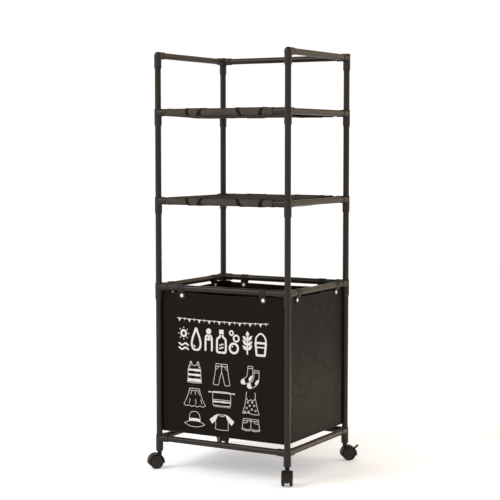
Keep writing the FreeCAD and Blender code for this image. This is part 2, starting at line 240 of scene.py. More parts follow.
def build(name, parts, slot, edge=0.0, replaces=None, body="frame", sharp_deg=40.0):
    """A piece from points in millimetres, faces, and the weave places of the faces' corners, if it has
    any. edge is how far its sharp edges are rounded, and replaces is the CAD node it stands for."""
    points, faces, places = parts
    mesh = bpy.data.meshes.new(name)
    mesh.from_pydata((np.asarray(points, float) * MM).tolist(), [], faces)
    if len(places):
        layer = mesh.uv_layers.new(name=WEAVE)
        layer.data.foreach_set("uv", np.asarray(places, np.float32).ravel())
    work = bmesh.new()
    work.from_mesh(mesh)
    bmesh.ops.recalc_face_normals(work, faces=work.faces)
    work.to_mesh(mesh)
    work.free()
    mesh.shade_smooth()
    mesh.set_sharp_from_angle(angle=math.radians(sharp_deg))
    mesh.materials.append(SLOTS[slot])
    piece = bpy.data.objects.new(name, mesh)
    bpy.context.scene.collection.objects.link(piece)
    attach(piece, body)
    if edge:
        soften(piece, edge)
    if replaces:
        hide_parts(replaces)
    return piece


def soften(piece, width, segments=2, angle_deg=35.0):
    """Rounds the piece's sharp edges."""
    edge = piece.modifiers.new("rounded_edges", "BEVEL")
    edge.width = width * MM
    edge.segments = segments
    edge.limit_method = "ANGLE"
    edge.angle_limit = math.radians(angle_deg)


def arc_lengths(points, closed):
    """The length along a line of points at each of them, and back at the first if it is closed."""
    if closed:
        points = np.vstack([points, points[:1]])
    steps = np.linalg.norm(np.diff(points, axis=0), axis=1)
    return np.concatenate([[0.0], np.cumsum(steps)])


def slab(outer, inner, closed, capped=False):
    """Points, faces and weave places of a sheet between two grids of points. A closed one's rows run
    round and meet, and a capped one's first column is closed by a face."""
    rows, columns = outer.shape[:2]
    along = arc_lengths(outer[:, columns // 2], closed)
    across = arc_lengths(outer[rows // 2], False)
    spans = rows if closed else rows - 1
    faces, places = [], []

    def add(corners, side):
        faces.append([side_of * rows * columns + (r % rows) * columns + c
                      for (r, c), side_of in zip(corners, side)])
        places.extend([(along[r], across[c]) for r, c in corners])

    for r in range(spans):
        for c in range(columns - 1):
            corners = [(r, c), (r + 1, c), (r + 1, c + 1), (r, c + 1)]
            add(corners, (0, 0, 0, 0))
            add(corners[::-1], (1, 1, 1, 1))
        for c in (0, columns - 1):
            if not (capped and c == 0):
                add([(r, c), (r + 1, c), (r + 1, c), (r, c)], (0, 0, 1, 1))
    if not closed:
        for r in (0, rows - 1):
            for c in range(columns - 1):
                add([(r, c), (r, c + 1), (r, c + 1), (r, c)], (0, 0, 1, 1))
    if capped:
        ring = [(r, 0) for r in range(rows)]
        add(ring, [0] * rows)
        add(ring, [1] * rows)
    points = np.concatenate([outer.reshape(-1, 3), inner.reshape(-1, 3)])
    return points, faces, places


def joined(parts):
    """Several (points, faces, places) as one."""
    points, faces, places = [], [], []
    for some_points, some_faces, some_places in parts:
        start = sum(len(p) for p in points)
        points.append(np.asarray(some_points, float))
        faces.extend([[i + start for i in face] for face in some_faces])
        places.extend(some_places)
    return np.concatenate(points), faces, places


def swept(path, radius, sides=8, closed=False, flat=1.0, up=None):
    """Points, faces and weave places of a round bar along a path of points. flat is the section's
    height over its width, with its width across the path and square to up."""
    path = np.asarray(path, float)
    if closed:
        tangents = np.roll(path, -1, axis=0) - np.roll(path, 1, axis=0)
    else:
        tangents = np.gradient(path, axis=0)
    tangents /= np.linalg.norm(tangents, axis=1)[:, None]
    up = np.array([0.0, 0.0, 1.0] if up is None else up)
    wide = np.cross(tangents, up)
    small = np.linalg.norm(wide, axis=1) < 1e-3
    wide[small] = (1.0, 0.0, 0.0)
    wide /= np.linalg.norm(wide, axis=1)[:, None]
    high = np.cross(wide, tangents)
    radii = np.broadcast_to(np.asarray(radius, float), (len(path),))
    angles = np.arange(sides) * 2 * math.pi / sides
    rings = (path[:, None] + wide[:, None] * (radii[:, None] * np.cos(angles))[..., None]
             + high[:, None] * (radii[:, None] * np.sin(angles))[..., None] * flat)
    rows = len(path)
    along = arc_lengths(path, closed)
    faces, places = [], []
    for r in range(rows if closed else rows - 1):
        for c in range(sides):
            corners = [(r, c), (r + 1, c), (r + 1, c + 1), (r, c + 1)]
            faces.append([(i % rows) * sides + j % sides for i, j in corners])
            places.extend([(along[i], j * radii[0] * 2 * math.pi / sides) for i, j in corners])
    if not closed:
        for row in (0, rows - 1):
            faces.append([row * sides + j for j in range(sides)])
            places.extend([(along[row], 0.0)] * sides)
    return rings.reshape(-1, 3), faces, places


def turned(profile, centre, axis, steps=48):
    """Points, faces and weave places of a shape turned about an axis, from (radius, along) pairs.
    A pair with no radius is a pole."""
    axis = np.asarray(axis, float) / np.linalg.norm(axis)
    side = np.cross(axis, (0.0, 0.0, 1.0))
    if np.linalg.norm(side) < 1e-3:
        side = np.array([1.0, 0.0, 0.0])
    side /= np.linalg.norm(side)
    third = np.cross(axis, side)
    points, rings = [], []
    for radius, along in profile:
        count = 1 if radius == 0 else steps
        rings.append([len(points) + i for i in range(count)])
        for i in range(count):
            angle = 2 * math.pi * i / steps
            points.append(centre + axis * along
                          + (side * math.cos(angle) + third * math.sin(angle)) * radius)
    faces = []
    for lower, upper in zip(rings, rings[1:]):
        for i in range(steps):
            corners = [lower[i % len(lower)], lower[(i + 1) % len(lower)],
                       upper[(i + 1) % len(upper)], upper[i % len(upper)]]
            faces.append(list(dict.fromkeys(corners)))
    if len(rings[0]) > 1 and len(rings[-1]) > 1:
        faces.append(rings[0])
        faces.append(rings[-1])
    places = [(0.0, 0.0)] * sum(len(face) for face in faces)
    return np.array(points), faces, places


def stitches(path, outward, length=3.0, gap=1.3, thick=0.42):
    """One row of thread stitches along a path that lies on cloth; outward is the cloth's normal."""
    path = np.asarray(path, float)
    run = arc_lengths(path, False)
    outward = np.broadcast_to(np.asarray(outward, float), path.shape)
    parts = []
    for start in np.arange(gap, run[-1] - length, length + gap):
        at = start + length * np.array([0.0, 0.18, 0.5, 0.82, 1.0])
        line = np.stack([np.interp(at, run, path[:, i]) for i in range(3)], axis=1)
        normal = np.array([np.interp(at[2], run, outward[:, i]) for i in range(3)])
        rise = np.array([-0.2, 0.12, 0.2, 0.12, -0.2]) * thick
        line = line + rise[:, None] * normal
        parts.append(swept(line, thick / 2 * np.array([0.5, 1.0, 1.0, 1.0, 0.5]), 6, up=normal))
    return joined(parts)


def smooth_step(value):
    value = np.clip(value, 0.0, 1.0)
    return value * value * (3 - 2 * value)


def ripple(points, across, seed):
    """Smooth noise from -1 to 1 at each point, with features about this many millimetres across."""
    shift = Vector((seed * 17.3, seed * 5.1, seed * 9.7))
    flat = np.asarray(points, float).reshape(-1, 3)
    values = [noise.noise(Vector(p / across) + shift) for p in flat]
    return np.array(values).reshape(np.asarray(points).shape[:-1])


# ---------------------------------------------------------------- connectors

SOCKET_R = 9.5
SOCKET_BORE_R = 8.1
ARM_REACH = 29.0
SLEEVE_DROP = 34.0
ARM_STOP = 10.5
WEB_TOP = 10.0
WEB_BOTTOM = 12.0
CAP_RISE = 1.0
MOUTH_TAPER = 0.7            # how much a sleeve narrows at its open end
MOUTH_TAPER_RUN = 3.2
MOUTH_ROUND = 0.5
FILLET = 1.8                 # where the arms meet the sleeve
VOXEL = 0.85
SKIN_STEPS = 6               # how often the skin is drawn onto the exact surface
SLOPE_STEP = 0.01
SLOPE_FLOOR = 0.25
PAST = 5.0                   # how far a bore's cutter stands out of its mouth


def bar_distance(points, direction, start, end):
    """How far points are outside a bar with a tapered far end, from the connector's centre."""
    along = points @ direction
    radial = np.linalg.norm(points - np.outer(along, direction), axis=1)
    taper = MOUTH_TAPER * smooth_step((along - end + MOUTH_TAPER_RUN) / MOUTH_TAPER_RUN)
    beyond = np.stack([
        radial - (SOCKET_R - taper - MOUTH_ROUND),
        np.maximum(start + MOUTH_ROUND - along, along - end + MOUTH_ROUND),
    ], axis=1)
    outside = np.linalg.norm(np.maximum(beyond, 0), axis=1)
    return outside + np.minimum(beyond.max(axis=1), 0) - MOUTH_ROUND


def smooth_min(a, b):
    share = np.clip(0.5 + 0.5 * (b - a) / FILLET, 0, 1)
    return b * (1 - share) + a * share - FILLET * share * (1 - share)


def connector_distance(points, arms, top):
    distance = bar_distance(points, np.array([0.0, 0.0, -1.0]), -top, SLEEVE_DROP)
    for arm in arms:
        distance = smooth_min(distance, bar_distance(points, np.array(arm, float), 0.0, ARM_REACH))
    if top == 0:
        distance = smooth_min(distance, np.linalg.norm(points, axis=1) - SOCKET_R)
    return distance


def bars(spans, radius, steps):
    """A mesh of separate round bars; each span is a direction, a start and an end."""
    work = bmesh.new()
    for direction, start, end in spans:
        direction = Vector(direction)
        place = Matrix.Translation(direction * (start + end) / 2)
        place = place @ direction.to_track_quat("Z", "Y").to_matrix().to_4x4()
        bmesh.ops.create_cone(work, cap_ends=True, segments=steps, radius1=radius, radius2=radius,
                              depth=end - start, matrix=place)
    mesh = bpy.data.meshes.new("bars")
    work.to_mesh(mesh)
    work.free()
    return mesh


def modified(mesh, kind, **settings):
    """A new mesh: the given one with a modifier applied."""
    holder = bpy.data.objects.new("holder", mesh)
    bpy.context.scene.collection.objects.link(holder)
    modifier = holder.modifiers.new("modifier", kind)
    for key, value in settings.items():
        setattr(modifier, key, value)
    graph = bpy.context.evaluated_depsgraph_get()
    made = bpy.data.meshes.new_from_object(holder.evaluated_get(graph))
    bpy.data.objects.remove(holder)
    return made


def connector_mesh(arms, top):
    """Points and faces of a connector about its rails' centre, in millimetres."""
    spans = [((0, 0, -1), -top, SLEEVE_DROP)] + [(arm, 0.0, ARM_REACH) for arm in arms]
    if top == 0:
        spans[0] = ((0, 0, -1), -SOCKET_R * 0.7, SLEEVE_DROP)
    skin = modified(bars(spans, SOCKET_R, 40), "REMESH", mode="VOXEL", voxel_size=VOXEL)
    points = np.array([v.co for v in skin.vertices])
    for _ in range(SKIN_STEPS):
        distance = connector_distance(points, arms, top)
        slope = np.stack([
            connector_distance(points + way, arms, top) - distance
            for way in SLOPE_STEP * np.eye(3)], axis=1) / SLOPE_STEP
        length = np.maximum((slope ** 2).sum(axis=1), SLOPE_FLOOR)
        points = points - (distance / length)[:, None] * slope
    skin.vertices.foreach_set("co", points.ravel())
    bores = [((0, 0, -1), WEB_BOTTOM, SLEEVE_DROP + PAST)]
    bores += [(arm, ARM_STOP, ARM_REACH + PAST) for arm in arms]
    if top == SOCKET_R:
        bores.append(((0, 0, 1), -WEB_TOP, top + PAST))
    cutter = bpy.data.objects.new("cutter", bars(bores, SOCKET_BORE_R, 48))
    bpy.context.scene.collection.objects.link(cutter)
    hollow = modified(skin, "BOOLEAN", operation="DIFFERENCE", object=cutter, solver="EXACT")
    bpy.data.objects.remove(cutter)
    points = np.array([v.co for v in hollow.vertices])
    return points, [list(face.vertices) for face in hollow.polygons]


def make_connectors():
    through = connector_mesh([(1, 0, 0), (0, 1, 0)], SOCKET_R)
    elbow = connector_mesh([(0, 1, 0)], 0.0)
    back_top = connector_mesh([(1, 0, 0), (0, 1, 0)], SOCKET_R + CAP_RISE)
    for level, height in LEVELS.items():
        parts = []
        for side, end in CORNERS.values():
            points, faces = through
            if level == "top":
                points, faces = elbow if end < 0 else back_top
            placed = points * (-side, -end, 1) + (side * HALF_X, end * HALF_Y, height)
            parts.append((placed, faces, []))
        build("socket_joints_" + level, joined(parts), "connector_plastic", replaces="connectors_" + level)


# ---------------------------------------------------------------- cloth shelves

CLOTH_R = 8.25               # inside of the cloth where it goes round a rail
CLOTH_THICK = 1.2
HEM_WIDTH = 9.0
HEM_RISE = 0.45
TOP_SAG = 1.6
BOTTOM_SAG = 3.0
TONGUE_THICK = 0.8
TONGUE_TOP = 24.0            # how far a tongue runs back from the rail, above and below
TONGUE_BOTTOM = 27.0
# the black strips along the tongues' sides: partly binding tape, partly painted shade for the shaded gaps beside
# the tongues
BINDING_AND_SHADE_THICK = 1.25
TONGUE_LIFT = 0.03           # between the cloth and what is sewn onto it
CREASE = 0.7                 # uneven waves in the cloth, and how wide they are
CREASE_RUN = 55.0
SEAM_IN = 3.0                # a tongue's seam, from its end and from its sides
SEAM_SIDE = 6.0
HEM_SEAM = 2.2               # a hem's seam, from its inner edge
ARC_STEPS = 18
FLAT_STEPS = 22
SHELF_COLUMNS = 36
BAND_DEG = 60.0              # the bands' places are given this far above and below the rail's front
# Each band's middle and width along the rail, at its upper and its lower place.
BANDS = [
    ((-99.4, 8.1), (-93.6, 9.6)),
    ((-55.9, 4.8), (-63.9, 14.0)),
    ((49.4, 11.0), (59.3, 10.0)),
    ((120.5, 7.3), (114.3, 10.7)),
]


def wrap_path(end, y_top, y_bottom, arc_steps=20, flat_steps=4):
    """Where the cloth lies round one rail, from above to below: (y, z) from the rail's height and the
    outward normal, at the cloth's inside, and the angle above the rail's outer side."""
    rows = []
    for y in np.linspace(y_top, 0, flat_steps, endpoint=False):
        rows.append((-y, CLOTH_R, 0.0, 1.0, 90.0))
    for degrees in np.linspace(90, -90, arc_steps + 1):
        angle = math.radians(degrees)
        rows.append((CLOTH_R * math.cos(angle), CLOTH_R * math.sin(angle),
                     math.cos(angle), math.sin(angle), degrees))
    for y in np.linspace(0, y_bottom, flat_steps + 1)[1:]:
        rows.append((-y, -CLOTH_R, 0.0, -1.0, -90.0))
    rows = np.array(rows)
    rows[:, 0] = end * (rows[:, 0] + HALF_Y)
    rows[:, 2] *= end
    return rows


def sag(y, z):
    """How far the cloth hangs below the flat between the rails."""
    share = np.cos(np.clip(y / HALF_Y, -1, 1) * math.pi / 2) ** 2
    return share * np.where(z > 0, TOP_SAG, BOTTOM_SAG)


def cloth_point(x, row, lift, height):
    """A point of a shelf's cloth this far out from the cloth's inside."""
    y, z, normal_y, normal_z = row[:4]
    return (x, y + normal_y * lift, height + z + normal_z * lift - sag(y, z))


def shelf_rows():
    """The whole loop of the cloth: over the top, round the front, back below and round the back."""
    front, back = [wrap_path(end, HALF_Y, HALF_Y, ARC_STEPS, FLAT_STEPS)[::-end] for end in (-1, 1)]
    return np.concatenate([front[:-1], back[:-1]])


def shelf_columns(left, right):
    """(x, how far the outer side stands off the inner) across a shelf, with a hem at each end."""
    hem = [(0.0, HEM_RISE), (3.0, HEM_RISE), (HEM_WIDTH - 0.8, HEM_RISE), (HEM_WIDTH, 0.0)]
    columns = [(left + x, rise) for x, rise in hem]
    columns += [(x, 0.0) for x in np.linspace(left + HEM_WIDTH, right - HEM_WIDTH, SHELF_COLUMNS)[1:-1]]
    columns += [(right - x, rise) for x, rise in hem[::-1]]
    return [(x, CLOTH_THICK + rise) for x, rise in columns]


def band_x(band, degrees, side=0):
    """The place along the rail of a band's middle, or of its left (-1) or right (1) edge."""
    (top, top_width), (bottom, bottom_width) = band
    share = np.clip((BAND_DEG - degrees) / (2 * BAND_DEG), -0.3, 1.3)
    return top + (bottom - top) * share + side * (top_width + (bottom_width - top_width) * share) / 2


def wrap_patch(end, height, left, right, base, thick, columns):
    """A flat strip on the cloth, round one rail; left and right give its edges at an angle."""
    path = wrap_path(end, TONGUE_TOP, TONGUE_BOTTOM)
    outer, inner = [], []
    for row in path:
        across = np.linspace(left(row[4]), right(row[4]), columns)
        outer.append([cloth_point(x, row, base + thick, height) for x in across])
        inner.append([cloth_point(x, row, base, height) for x in across])
    return slab(np.array(outer), np.array(inner), False)


def make_shelf(level):
    height = LEVELS[level]
    low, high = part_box("shelf_cloth_" + level)
    left, right = low.x / MM, high.x / MM
    rows = shelf_rows()
    columns = shelf_columns(left, right)
    outer = np.array([[cloth_point(x, row, lift, height) for x, lift in columns] for row in rows])
    inner = np.array([[cloth_point(x, row, 0.0, height) for x, lift in columns] for row in rows])
    share = np.cos(np.clip(rows[:, 0] / HALF_Y, -1, 1) * math.pi / 2)[:, None] ** 2
    creases = ripple(inner, CREASE_RUN, len(level)) * share * CREASE
    outer[..., 2] += creases
    inner[..., 2] += creases
    piece = build("shelf_" + level + "_cloth", slab(outer, inner, True), "shelf_cloth", 0.35,
                  "shelf_cloth_" + level)
    tongues, bindings_and_gap_shade, seams = [], [], []
    top_of_cloth = CLOTH_THICK + TONGUE_LIFT
    for end in (-1, 1):
        for first, second in ((0, 1), (2, 3)):
            edges = [lambda degrees, band=BANDS[i]: band_x(band, degrees) for i in (first, second)]
            tongues.append(wrap_patch(end, height, *edges, top_of_cloth, TONGUE_THICK, 14))
            for i in (first, second):
                sides = [lambda degrees, band=BANDS[i], side=side: band_x(band, degrees, side)
                         for side in (-1, 1)]
                bindings_and_gap_shade.append(wrap_patch(end, height, *sides, top_of_cloth, BINDING_AND_SHADE_THICK, 4))
            for path_end in (0, -1):
                row = wrap_path(end, TONGUE_TOP - SEAM_IN, TONGUE_BOTTOM - SEAM_IN)[path_end]
                xs = np.linspace(edges[0](row[4]) + SEAM_SIDE, edges[1](row[4]) - SEAM_SIDE, 12)
                line = [cloth_point(x, row, top_of_cloth + TONGUE_THICK, height) for x in xs]
                seams.append(stitches(line, (0, 0, row[3])))
    build("shelf_" + level + "_tongues", joined(tongues), "shelf_cloth", 0.25)
    # near-black strips along the tongues' sides: partly binding tape, partly painted shade standing for the shaded
    # gaps beside the tongues
    build("shelf_" + level + "_bindings", joined(bindings_and_gap_shade), "bag_cloth", 0.35)
    for x in (left + HEM_WIDTH - HEM_SEAM, right - HEM_WIDTH + HEM_SEAM):
        for start in (0, len(rows) // 2):
            half = rows[start:start + len(rows) // 2]
            line = [cloth_point(x, row, CLOTH_THICK + HEM_RISE, height) for row in half]
            normals = [(0, row[2], row[3]) for row in half]
            seams.append(stitches(line, normals))
    build("shelf_" + level + "_stitches", joined(seams), "strap_cloth")


# ---------------------------------------------------------------- hamper bag

BAG_CORNER_R = 13.4          # beside the connectors' sleeves
BAG_LOW_CORNER_R = 10.0      # and below them, where only the post tubes are beside it
CORNER_EASE = 4.0
BAG_WALL = 2.4
BAG_FOLD_R = 3.0             # the bottom edge's fold
BAG_SWELL = 1.8              # how far the middle of a panel stands out
BAG_BUCKLE = 0.7             # uneven waves in the panels
FLOOR_SAG = 1.6
RIM_DROOP = 1.3              # between the straps
RIM_RISE = 4.0               # beyond them, where the rim reaches the connectors' arms
RIM_CORNER_DIP = 1.5         # how much less it rises right in the corners
RISE_FROM_FRONT = 1.28       # where the rise starts on the front and back, in shares of a strap's place,
RISE_FROM_SIDE = 0.93        # and on the sides
RISE_RUN = 0.14
TAPE_WIDTH = 11.0            # the binding folded over the rim
TAPE_THICK = 0.5
PIPING_R = 1.15
PIPING_DEPTH = 0.85          # how far the middle of an upright piping is inside the corner
PIPING_WANDER = 0.25
TAPE_LIFT = 0.03
TAPE_SEAM = 2.0              # its seam, from its lower edge
FOOT_SEAM = 7.0              # the seam along the bottom, above the floor
LOOP_X = 60                  # divisions of a long side, a short side and a corner
LOOP_Y = 52
LOOP_CORNER = 8
FLOOR_INSETS = (118.0, 90.0, 64.0, 42.0, 24.0, 12.0, 6.0)
PANEL_ROWS = 64

BAG_LOW, BAG_HIGH = (np.array(corner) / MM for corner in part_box("hamper_bag"))
BAG_HALF_X = BAG_HIGH[0]
BAG_HALF_Y = BAG_HIGH[1]
BAG_TALL = BAG_HIGH[2] - BAG_LOW[2]
STRAP_X = 120.0              # the straps' places on the front and back rails, either side of the middle
STRAP_Y = 109.0              # and on the side rails


def corner_radius(height):
    """The radius of the bag's upright corners, which widens beside the connectors' sleeves."""
    sleeve_foot = LEVELS["bag"] - SLEEVE_DROP
    share = smooth_step((height - sleeve_foot + CORNER_EASE) / CORNER_EASE)
    return BAG_LOW_CORNER_R + (BAG_CORNER_R - BAG_LOW_CORNER_R) * share


def rounded_loop(inset, corner=BAG_CORNER_R):
    """Points and outward normals round the bag's plan, this far inside its outer faces."""
    radius = max(corner - inset, 2.0)
    half = np.array([BAG_HALF_X - inset, BAG_HALF_Y - inset])
    corners = [(1, -1), (1, 1), (-1, 1), (-1, -1)]
    rows = []
    for i, corner in enumerate(corners):
        centre = np.array(corner) * (half - radius)
        for angle in np.radians(np.linspace(-90, 0, LOOP_CORNER + 1) + 90 * i):
            normal = np.array([math.cos(angle), math.sin(angle)])
            rows.append((*(centre + normal * radius), *normal))
        end = np.array(corners[(i + 1) % 4]) * (half - radius) + normal * radius
        start = centre + normal * radius
        count = LOOP_Y if i % 2 == 0 else LOOP_X
        for share in np.linspace(0, 1, count + 1)[1:-1]:
            rows.append((*(start + (end - start) * share), *normal))
    return np.array(rows)


def swell(points, normals):
    """How far the bag's panels stand out at points on their flat faces."""
    on_front = np.abs(normals[..., 1]) > np.abs(normals[..., 0])
    along = np.where(on_front, points[..., 0] / BAG_HALF_X, points[..., 1] / BAG_HALF_Y)
    up = np.clip((points[..., 2] - BAG_LOW[2]) / BAG_TALL, 0, 1)
    across = np.cos(np.clip(along, -1, 1) * math.pi / 2)
    height = np.sin(up * math.pi)
    even = BAG_SWELL * across ** 2 * height ** 1.5
    waves = ripple(points * (1, 1, 0.6), 80.0, 3) + 0.4 * ripple(points, 34.0, 4)
    return even + BAG_BUCKLE * waves * np.sqrt(np.clip(across, 0, 1) * height)


def droop(points, normals):
    """How far the rim hangs between two straps, less its rise towards the corners."""
    on_front = np.abs(normals[..., 1]) > np.abs(normals[..., 0])
    along = np.abs(np.where(on_front, points[..., 0] / STRAP_X, points[..., 1] / STRAP_Y))
    held = np.where(along < 1, np.cos(along * math.pi / 2) ** 2, 0.0)
    up = smooth_step((points[..., 2] - BAG_LOW[2]) / BAG_TALL * 2 - 1)
    beyond = smooth_step((along - np.where(on_front, RISE_FROM_FRONT, RISE_FROM_SIDE)) / RISE_RUN)
    turned_share = smooth_step(2 * np.abs(normals[..., 0] * normals[..., 1]))
    rise = beyond * (RIM_RISE - RIM_CORNER_DIP * turned_share)
    return (RIM_DROOP * held - rise) * up


def bag_surface(columns, lift=0.0):
    """A grid of points round the bag: each column is an inset and a height on its outer side, and how
    much of the panels' swell it takes."""
    grid = []
    for inset, height, share in columns:
        loop = rounded_loop(inset, corner_radius(height))
        points = np.column_stack([loop[:, :2], np.full(len(loop), height)])
        normals = np.column_stack([loop[:, 2:], np.zeros(len(loop))])
        moved = points + normals * (lift + share * swell(points, normals))[:, None]
        moved[:, 2] -= droop(points, normals)
        grid.append(moved)
    return np.stack(grid, axis=1)


def bag_columns(depth):
    """The bag's section from the middle of the floor to the rim, this deep inside its outer side."""
    low, high = BAG_LOW[2], BAG_HIGH[2]
    columns = []
    for inset in FLOOR_INSETS:
        columns.append((inset, low + depth - FLOOR_SAG * smooth_step(inset / FLOOR_INSETS[0]), 0.0))
    for degrees in (0, 30, 60, 90):
        fold = math.radians(degrees)
        inset = BAG_FOLD_R * (1 - math.sin(fold)) + depth * math.sin(fold)
        columns.append((inset, low + BAG_FOLD_R * (1 - math.cos(fold)) + depth * math.cos(fold), 0.0))
    for height in np.linspace(low + BAG_FOLD_R, high, PANEL_ROWS)[1:]:
        columns.append((depth, height, 1.0))
    return columns


def tape_columns():
    """The binding over the rim, from its lower edge outside to its lower edge inside."""
    foot = BAG_HIGH[2] - TAPE_WIDTH
    top = BAG_HIGH[2]
    outside = [(0.0, z, 1.0) for z in np.linspace(foot, top, 5)]
    inside = [(BAG_WALL, z, 1.0) for z in np.linspace(top, foot, 5)]
    return outside, inside


def make_bag():
    outer = bag_surface(bag_columns(0.0))
    inner = bag_surface(bag_columns(BAG_WALL))
    build("laundry_bag", slab(outer, inner, True, capped=True), "bag_cloth", 0.7, "hamper_bag")
    outside, inside = tape_columns()
    over = np.array([0, 0, TAPE_THICK])
    base = np.concatenate([bag_surface(outside, TAPE_LIFT), bag_surface(inside, -TAPE_LIFT)], axis=1)
    cover = np.concatenate([bag_surface(outside, TAPE_THICK), bag_surface(inside, -TAPE_THICK)], axis=1)
    base[:, 4:6] += over * 0.06
    cover[:, 4:6] += over
    build("bag_rim_tape", slab(cover, base, True), "bag_cloth", 0.3)
    seams = []
    loop = rounded_loop(0.0)
    normals = np.column_stack([loop[:, 2:], np.zeros(len(loop))])
    tape_seam, foot_seam = BAG_HIGH[2] - TAPE_WIDTH + TAPE_SEAM, BAG_LOW[2] + FOOT_SEAM
    for height, lift in ((tape_seam, TAPE_THICK), (foot_seam, 0.0)):
        row = bag_surface([(0.0, height, 1.0)], lift)[:, 0]
        seams.append(stitches(np.vstack([row, row[:1]]), np.vstack([normals, normals[:1]])))
    piping = [swept(bag_surface([(0.0, BAG_LOW[2] + BAG_FOLD_R * 0.5, 0.0)])[:, 0], PIPING_R, 10, True)]
    heights = np.linspace(BAG_LOW[2] + BAG_FOLD_R, BAG_HIGH[2] - TAPE_WIDTH - 0.5, 60)
    upright = bag_surface([(0.0, height, 0.0) for height in heights])
    for i in range(4):
        start = i * (LOOP_CORNER + 1) + (i + 1) // 2 * (LOOP_Y - 1) + i // 2 * (LOOP_X - 1)
        normal = normals[start + LOOP_CORNER // 2]
        line = upright[start + LOOP_CORNER // 2] - normal * PIPING_DEPTH
        line += (PIPING_WANDER * ripple(line, 40.0, 6))[:, None] * np.cross(normal, (0, 0, 1))
        piping.append(swept(line, PIPING_R, 10, up=normal))
        for edge in (start, start + LOOP_CORNER):
            seams.append(stitches(upright[edge], normals[edge]))
    build("bag_piping", joined(piping), "strap_cloth")
    build("bag_stitches", joined(seams), "strap_cloth")


# ---------------------------------------------------------------- straps and press studs

STRAP_HALF = 9.5
STRAP_THICK = 1.1
STRAP_OVER_R = 8.8           # the strap's middle where it goes over the rail
STRAP_OUTER_LEG = 2.2        # its legs' middles, from the rail's centre towards the bag
STRAP_INNER_LEG = 6.2
STRAP_SNAP = -19.6           # the snap's centre, below the rail's
STRAP_SECTION = np.array([-1, -0.97, -0.8, -0.5, 0, 0.5, 0.8, 0.97, 1.0])   # shares of its half width
STRAP_TIP = 1.4              # half the width right at its ends
STRAP_WANDER = 0.5
SNAP_R = 4.4
SNAP_RISE = 1.6
SEAM_R = 6.9
SIDE_SEAM = 7.4              # a strap's straight seams, either side of its middle
STRAP_STITCH = (2.2, 0.9, 0.38)   # their stitches' length, gap and thickness
RIM_BAR_R = 0.8
RIM_R = 8.0                  # the raised, bound edge of the strap round its snap; its lighter cloth is a painted highlight along that edge
STRAP_PLACES = (
    [((x, -HALF_Y), (0, -1)) for x in (-STRAP_X, STRAP_X)]
    + [((x, HALF_Y), (0, 1)) for x in (-STRAP_X, STRAP_X)]
    + [((-HALF_X, y), (-1, 0)) for y in (-STRAP_Y, STRAP_Y)]
    + [((HALF_X, y), (1, 0)) for y in (-STRAP_Y, STRAP_Y)]
)


def touch_deg(leg, edge, turn):
    """Where a straight line from a leg's top touches the strap's circle over the rail, in degrees."""
    direction = math.degrees(math.atan2(edge, leg))
    spread = math.degrees(math.acos(STRAP_OVER_R / math.hypot(leg, edge)))
    return direction + turn * spread


def strap_line():
    """The strap's middle from the foot of its outer leg, over the rail, to the foot of its inner leg:
    (towards the bag, up) from the rail's centre."""
    edge = BAG_HIGH[2] - LEVELS["bag"]
    foot = STRAP_SNAP - STRAP_HALF
    first = touch_deg(STRAP_OUTER_LEG, edge, -1) % 360
    last = touch_deg(STRAP_INNER_LEG, edge, 1)
    line = [(STRAP_OUTER_LEG, z) for z in np.linspace(foot, edge, 16)]
    for degrees in np.linspace(first, last, 26):
        angle = math.radians(degrees)
        line.append((STRAP_OVER_R * math.cos(angle), STRAP_OVER_R * math.sin(angle)))
    line += [(STRAP_INNER_LEG, z) for z in np.linspace(edge, foot, 16)]
    line = np.array(line)
    for _ in range(2):
        line[1:-1] = (line[:-2] + 2 * line[1:-1] + line[2:]) / 4
    return line


def at_strap(points, place):
    """Local points (along the rail, towards the bag, up) at one strap's place."""
    (x, y), (out_x, out_y) = place
    points = np.asarray(points, float)
    along, inward, up = points[..., 0], points[..., 1], points[..., 2]
    return np.stack([
        x - out_y * along - out_x * inward,
        y + out_x * along - out_y * inward,
        LEVELS["bag"] + up,
    ], axis=-1)


def strap_parts(place, seed):
    line = strap_line()
    run = arc_lengths(line, False)
    tangent = np.gradient(line, axis=0)
    tangent /= np.linalg.norm(tangent, axis=1)[:, None]
    outward = np.column_stack([-tangent[:, 1], tangent[:, 0]])
    from_end = np.minimum(run, run[-1] - run)
    rounding = np.clip(1 - from_end / STRAP_HALF, 0, 1)
    half = np.maximum(STRAP_HALF * np.sqrt(1 - rounding ** 2), STRAP_TIP)
    wander = STRAP_WANDER * ripple(np.column_stack([run, run * 0, run * 0]), 30.0, seed)
    sheets = []
    for side in (1, -1):
        offset = line + outward * side * STRAP_THICK / 2
        sheet = np.zeros((len(line), len(STRAP_SECTION), 3))
        sheet[..., 0] = half[:, None] * STRAP_SECTION + wander[:, None]
        sheet[..., 1:] = offset[:, None]
        sheets.append(at_strap(sheet, place))
    return slab(sheets[0], sheets[1], False)


def snap_parts(place, leg, side):
    """A domed cap on one face of the strap; side is -1 outside and 1 inside the bag."""
    _, (out_x, out_y) = place
    centre = at_strap((0, leg + side * STRAP_THICK / 2, STRAP_SNAP), place)
    profile = [(0.0, -0.2), (SNAP_R - 0.5, -0.2), (SNAP_R, 0.25), (SNAP_R, 0.75), (SNAP_R - 0.25, 1.1),
               (SNAP_R - 0.9, 1.35), (SNAP_R - 2.0, 1.5), (1.3, SNAP_RISE), (0.0, SNAP_RISE)]
    return turned(profile, centre, (-out_x * side, -out_y * side, 0), 40)


